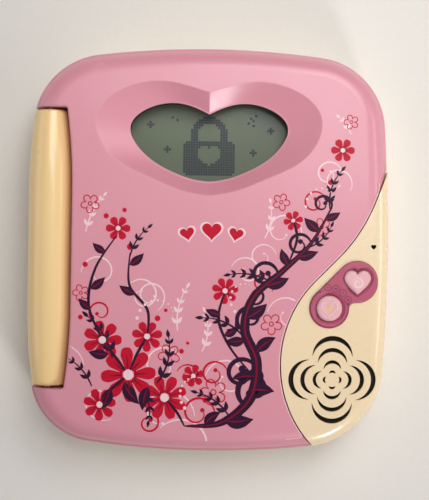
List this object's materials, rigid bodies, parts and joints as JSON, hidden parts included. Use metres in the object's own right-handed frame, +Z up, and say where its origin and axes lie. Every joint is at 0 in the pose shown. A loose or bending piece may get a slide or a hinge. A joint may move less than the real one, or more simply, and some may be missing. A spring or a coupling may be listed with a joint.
{
  "type": "electronic diary",
  "caption": "Flat clamshell diary with a round-edged cover on a barrel hinge, a heart-shaped window over its screen, a keyboard inside, and a side panel with buttons and a loudspeaker grille.",
  "frame": {"origin": "middle of the footprint, on the surface that the feet stand on", "axes": "+X from the hinge barrel to the side panel, +Y to the back, where the screen is, +Z up"},
  "size_m": [0.18, 0.201, 0.041],
  "materials": {
    "cover_pink": "satin pearl plastic",
    "liner_pink": "fine-grained moulded plastic",
    "case_cream": "glossy cream plastic",
    "deck_pink": "satin pink plastic",
    "bezel_mauve": "glossy mauve plastic",
    "button_pink": "glossy pale pink plastic",
    "key_cream": "satin cream plastic with printed legends",
    "key_rose": "satin rose plastic with printed legends",
    "screen_grey": "grey-green liquid crystal glass",
    "lens_clear": "clear acrylic",
    "mat_silicone": "moulded silicone",
    "foot_rubber": "matte rubber",
    "board_green": "solder-masked glass fibre board",
    "speaker_black": "black moulded plastic",
    "cell_wrap": "plain printed cell wrap",
    "steel": "plated steel"
  },
  "bodies": {
    "base": {"bottom_case": "case_cream", "upper_case": "case_cream", "deck_plate": "deck_pink", "spine_barrel": "case_cream", "control_bezel": "bezel_mauve", "case_screws": "steel", "rubber_feet": "foot_rubber", "main_board": "board_green", "button_board": "board_green", "loudspeaker": "speaker_black", "microphone": "speaker_black", "lcd_module": "screen_grey", "lcd_lens": "lens_clear", "keypad_mat": "mat_silicone", "batteries": "cell_wrap", "battery_contacts": "steel", "latch_solenoid": "speaker_black", "hinge_pins": "steel", "latch_spring": "steel"},
    "cover": {"cover_shell": "cover_pink", "cover_liner": "liner_pink", "cover_screws": "steel"},
    "battery_door": {"battery_door": "case_cream", "battery_door_screw": "steel"},
    "latch_bolt": {"latch_bolt": "steel"},
    "heart_button": {"heart_button": "button_pink"},
    "round_button": {"round_button": "button_pink"},
    "key_q": {"key_q": "key_cream"},
    "key_w": {"key_w": "key_cream"},
    "key_e": {"key_e": "key_cream"},
    "key_r": {"key_r": "key_cream"},
    "key_t": {"key_t": "key_cream"},
    "key_y": {"key_y": "key_cream"},
    "key_u": {"key_u": "key_cream"},
    "key_i": {"key_i": "key_cream"},
    "key_o": {"key_o": "key_cream"},
    "key_p": {"key_p": "key_cream"},
    "key_a": {"key_a": "key_cream"},
    "key_s": {"key_s": "key_cream"},
    "key_d": {"key_d": "key_cream"},
    "key_f": {"key_f": "key_cream"},
    "key_g": {"key_g": "key_cream"},
    "key_h": {"key_h": "key_cream"},
    "key_j": {"key_j": "key_cream"},
    "key_k": {"key_k": "key_cream"},
    "key_l": {"key_l": "key_cream"},
    "key_z": {"key_z": "key_cream"},
    "key_x": {"key_x": "key_cream"},
    "key_c": {"key_c": "key_cream"},
    "key_v": {"key_v": "key_cream"},
    "key_b": {"key_b": "key_cream"},
    "key_n": {"key_n": "key_cream"},
    "key_m": {"key_m": "key_cream"},
    "key_space": {"key_space": "key_rose"},
    "key_delete": {"key_delete": "key_rose"},
    "key_enter": {"key_enter": "key_rose"},
    "key_up": {"key_up": "key_rose"},
    "key_down": {"key_down": "key_rose"},
    "key_left": {"key_left": "key_rose"},
    "key_right": {"key_right": "key_rose"}
  },
  "joints": [
    {"name": "cover_hinge", "type": "hinge", "parent": "base", "child": "cover", "pos_m": [-0.0787, 0, 0.028], "axis": [0, -1, 0], "range_deg": [0, 120]},
    {"name": "battery_door_lift", "type": "slide", "parent": "base", "child": "battery_door", "axis": [0, 0, -1], "range_m": [0, 0.025]},
    {"name": "latch_slide", "type": "slide", "parent": "base", "child": "latch_bolt", "axis": [0, -1, 0], "range_m": [0, 0.0055], "stiffness_N_per_m": 40, "springref_m": -0.001, "deforming": ["latch_spring"]},
    {"name": "heart_button_press", "type": "slide", "parent": "base", "child": "heart_button", "axis": [0, 0, -1], "range_m": [0, 0.0012], "stiffness_N_per_m": 300, "springref_m": -0.0005},
    {"name": "round_button_press", "type": "slide", "parent": "base", "child": "round_button", "axis": [0, 0, -1], "range_m": [0, 0.0012], "stiffness_N_per_m": 300, "springref_m": -0.0005},
    {"name": "key_q_press", "type": "slide", "parent": "base", "child": "key_q", "axis": [0, 0, -1], "range_m": [0, 0.0012], "stiffness_N_per_m": 150, "springref_m": -0.0005},
    {"name": "key_w_press", "type": "slide", "parent": "base", "child": "key_w", "axis": [0, 0, -1], "range_m": [0, 0.0012], "stiffness_N_per_m": 150, "springref_m": -0.0005},
    {"name": "key_e_press", "type": "slide", "parent": "base", "child": "key_e", "axis": [0, 0, -1], "range_m": [0, 0.0012], "stiffness_N_per_m": 150, "springref_m": -0.0005},
    {"name": "key_r_press", "type": "slide", "parent": "base", "child": "key_r", "axis": [0, 0, -1], "range_m": [0, 0.0012], "stiffness_N_per_m": 150, "springref_m": -0.0005},
    {"name": "key_t_press", "type": "slide", "parent": "base", "child": "key_t", "axis": [0, 0, -1], "range_m": [0, 0.0012], "stiffness_N_per_m": 150, "springref_m": -0.0005},
    {"name": "key_y_press", "type": "slide", "parent": "base", "child": "key_y", "axis": [0, 0, -1], "range_m": [0, 0.0012], "stiffness_N_per_m": 150, "springref_m": -0.0005},
    {"name": "key_u_press", "type": "slide", "parent": "base", "child": "key_u", "axis": [0, 0, -1], "range_m": [0, 0.0012], "stiffness_N_per_m": 150, "springref_m": -0.0005},
    {"name": "key_i_press", "type": "slide", "parent": "base", "child": "key_i", "axis": [0, 0, -1], "range_m": [0, 0.0012], "stiffness_N_per_m": 150, "springref_m": -0.0005},
    {"name": "key_o_press", "type": "slide", "parent": "base", "child": "key_o", "axis": [0, 0, -1], "range_m": [0, 0.0012], "stiffness_N_per_m": 150, "springref_m": -0.0005},
    {"name": "key_p_press", "type": "slide", "parent": "base", "child": "key_p", "axis": [0, 0, -1], "range_m": [0, 0.0012], "stiffness_N_per_m": 150, "springref_m": -0.0005},
    {"name": "key_a_press", "type": "slide", "parent": "base", "child": "key_a", "axis": [0, 0, -1], "range_m": [0, 0.0012], "stiffness_N_per_m": 150, "springref_m": -0.0005},
    {"name": "key_s_press", "type": "slide", "parent": "base", "child": "key_s", "axis": [0, 0, -1], "range_m": [0, 0.0012], "stiffness_N_per_m": 150, "springref_m": -0.0005},
    {"name": "key_d_press", "type": "slide", "parent": "base", "child": "key_d", "axis": [0, 0, -1], "range_m": [0, 0.0012], "stiffness_N_per_m": 150, "springref_m": -0.0005},
    {"name": "key_f_press", "type": "slide", "parent": "base", "child": "key_f", "axis": [0, 0, -1], "range_m": [0, 0.0012], "stiffness_N_per_m": 150, "springref_m": -0.0005},
    {"name": "key_g_press", "type": "slide", "parent": "base", "child": "key_g", "axis": [0, 0, -1], "range_m": [0, 0.0012], "stiffness_N_per_m": 150, "springref_m": -0.0005},
    {"name": "key_h_press", "type": "slide", "parent": "base", "child": "key_h", "axis": [0, 0, -1], "range_m": [0, 0.0012], "stiffness_N_per_m": 150, "springref_m": -0.0005},
    {"name": "key_j_press", "type": "slide", "parent": "base", "child": "key_j", "axis": [0, 0, -1], "range_m": [0, 0.0012], "stiffness_N_per_m": 150, "springref_m": -0.0005},
    {"name": "key_k_press", "type": "slide", "parent": "base", "child": "key_k", "axis": [0, 0, -1], "range_m": [0, 0.0012], "stiffness_N_per_m": 150, "springref_m": -0.0005},
    {"name": "key_l_press", "type": "slide", "parent": "base", "child": "key_l", "axis": [0, 0, -1], "range_m": [0, 0.0012], "stiffness_N_per_m": 150, "springref_m": -0.0005},
    {"name": "key_z_press", "type": "slide", "parent": "base", "child": "key_z", "axis": [0, 0, -1], "range_m": [0, 0.0012], "stiffness_N_per_m": 150, "springref_m": -0.0005},
    {"name": "key_x_press", "type": "slide", "parent": "base", "child": "key_x", "axis": [0, 0, -1], "range_m": [0, 0.0012], "stiffness_N_per_m": 150, "springref_m": -0.0005},
    {"name": "key_c_press", "type": "slide", "parent": "base", "child": "key_c", "axis": [0, 0, -1], "range_m": [0, 0.0012], "stiffness_N_per_m": 150, "springref_m": -0.0005},
    {"name": "key_v_press", "type": "slide", "parent": "base", "child": "key_v", "axis": [0, 0, -1], "range_m": [0, 0.0012], "stiffness_N_per_m": 150, "springref_m": -0.0005},
    {"name": "key_b_press", "type": "slide", "parent": "base", "child": "key_b", "axis": [0, 0, -1], "range_m": [0, 0.0012], "stiffness_N_per_m": 150, "springref_m": -0.0005},
    {"name": "key_n_press", "type": "slide", "parent": "base", "child": "key_n", "axis": [0, 0, -1], "range_m": [0, 0.0012], "stiffness_N_per_m": 150, "springref_m": -0.0005},
    {"name": "key_m_press", "type": "slide", "parent": "base", "child": "key_m", "axis": [0, 0, -1], "range_m": [0, 0.0012], "stiffness_N_per_m": 150, "springref_m": -0.0005},
    {"name": "key_space_press", "type": "slide", "parent": "base", "child": "key_space", "axis": [0, 0, -1], "range_m": [0, 0.0012], "stiffness_N_per_m": 150, "springref_m": -0.0005},
    {"name": "key_delete_press", "type": "slide", "parent": "base", "child": "key_delete", "axis": [0, 0, -1], "range_m": [0, 0.0012], "stiffness_N_per_m": 150, "springref_m": -0.0005},
    {"name": "key_enter_press", "type": "slide", "parent": "base", "child": "key_enter", "axis": [0, 0, -1], "range_m": [0, 0.0012], "stiffness_N_per_m": 150, "springref_m": -0.0005},
    {"name": "key_up_press", "type": "slide", "parent": "base", "child": "key_up", "axis": [0, 0, -1], "range_m": [0, 0.0012], "stiffness_N_per_m": 150, "springref_m": -0.0005},
    {"name": "key_down_press", "type": "slide", "parent": "base", "child": "key_down", "axis": [0, 0, -1], "range_m": [0, 0.0012], "stiffness_N_per_m": 150, "springref_m": -0.0005},
    {"name": "key_left_press", "type": "slide", "parent": "base", "child": "key_left", "axis": [0, 0, -1], "range_m": [0, 0.0012], "stiffness_N_per_m": 150, "springref_m": -0.0005},
    {"name": "key_right_press", "type": "slide", "parent": "base", "child": "key_right", "axis": [0, 0, -1], "range_m": [0, 0.0012], "stiffness_N_per_m": 150, "springref_m": -0.0005}
  ]
}
